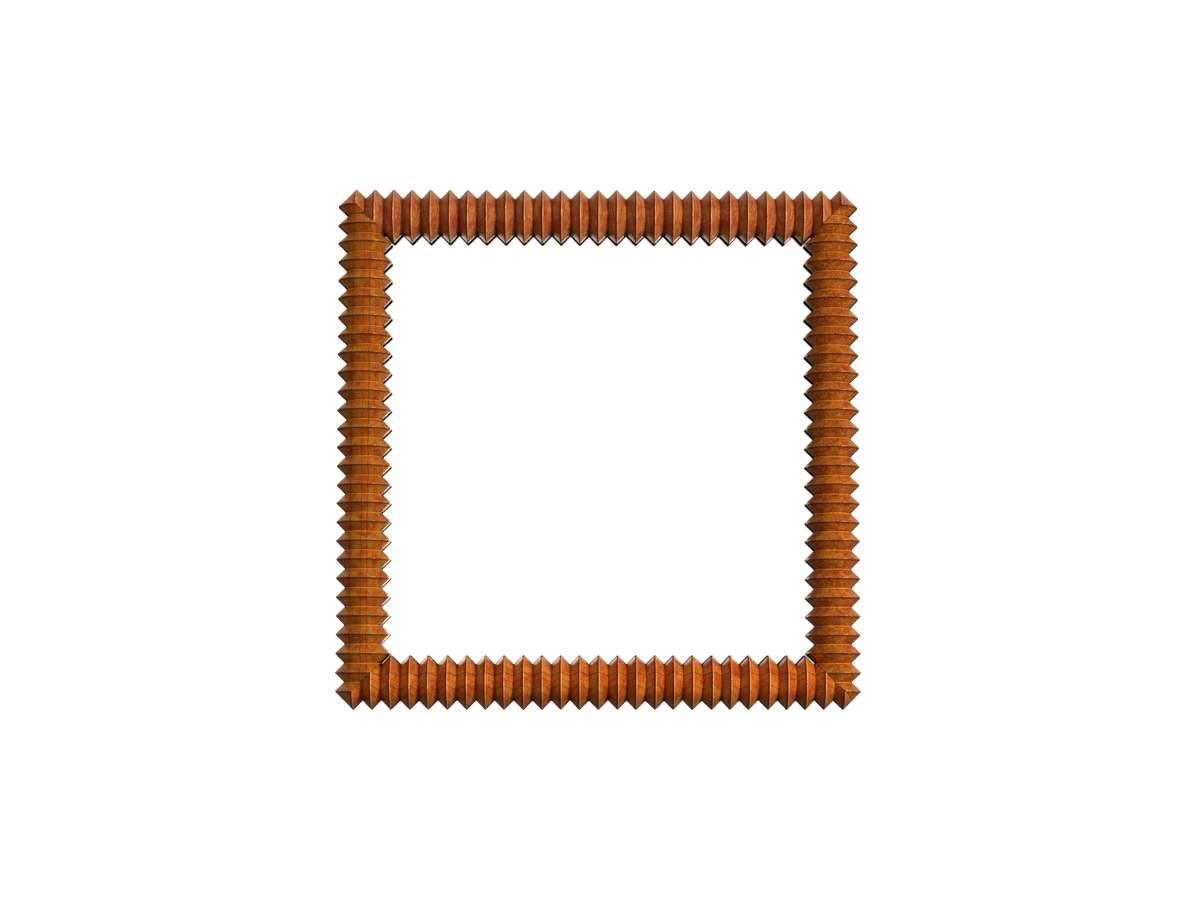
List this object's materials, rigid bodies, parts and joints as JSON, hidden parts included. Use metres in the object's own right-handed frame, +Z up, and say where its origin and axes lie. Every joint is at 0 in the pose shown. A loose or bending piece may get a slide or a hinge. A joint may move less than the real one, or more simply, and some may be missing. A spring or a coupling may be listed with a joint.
{
  "type": "wall mirror",
  "caption": "Square wall mirror in a frame of lathe-turned, deeply ridged hardwood rails, mitred at the corners, with swinging D-ring hangers behind.",
  "frame": {"origin": "middle of the mirror, on the plane of the wall that the pads touch", "axes": "+Z up as it hangs, +X to the right of someone facing the mirror, +Y from the mirror into the wall, so the mirror faces -Y"},
  "size_m": [0.6, 0.0535, 0.6],
  "materials": {
    "rail_wood": "turned hardwood, red-brown, gloss lacquer",
    "stile_wood": "turned hardwood, golden brown, gloss lacquer",
    "back_frame_wood": "softwood, stained near black",
    "key_wood": "plain hardwood, sanded",
    "mirror": "silvered float glass",
    "packer_felt": "dense felt strip",
    "hardboard": "hardboard, screen-marked back",
    "pin_steel": "bright wire",
    "screw_brass": "plain brass, dull",
    "hanger_brass": "brass-plated strap and wire",
    "pad_rubber": "black rubber"
  },
  "bodies": {
    "mirror": {"top_rail": "rail_wood", "bottom_rail": "rail_wood", "left_stile": "stile_wood", "right_stile": "stile_wood", "back_frame_top": "back_frame_wood", "back_frame_bottom": "back_frame_wood", "back_frame_left": "back_frame_wood", "back_frame_right": "back_frame_wood", "corner_key_top_left": "key_wood", "corner_key_top_right": "key_wood", "corner_key_bottom_left": "key_wood", "corner_key_bottom_right": "key_wood", "frame_screws": "screw_brass", "mirror_glass": "mirror", "glass_packers": "packer_felt", "backboard": "hardboard", "backboard_pins": "pin_steel", "hanger_plate_left": "hanger_brass", "hanger_plate_right": "hanger_brass", "hanger_screws": "screw_brass", "wall_pad_top_left": "pad_rubber", "wall_pad_top_right": "pad_rubber", "wall_pad_bottom_left": "pad_rubber", "wall_pad_bottom_right": "pad_rubber"},
    "ring_left": {"hanger_ring_left": "hanger_brass"},
    "ring_right": {"hanger_ring_right": "hanger_brass"}
  },
  "joints": [
    {"name": "ring_left_swing", "type": "hinge", "parent": "mirror", "child": "ring_left", "pos_m": [-0.2725, -0.0035, 0.17], "axis": [1, 0, 0], "range_deg": [0, 180]},
    {"name": "ring_right_swing", "type": "hinge", "parent": "mirror", "child": "ring_right", "pos_m": [0.2725, -0.0035, 0.17], "axis": [1, 0, 0], "range_deg": [0, 180]}
  ]
}
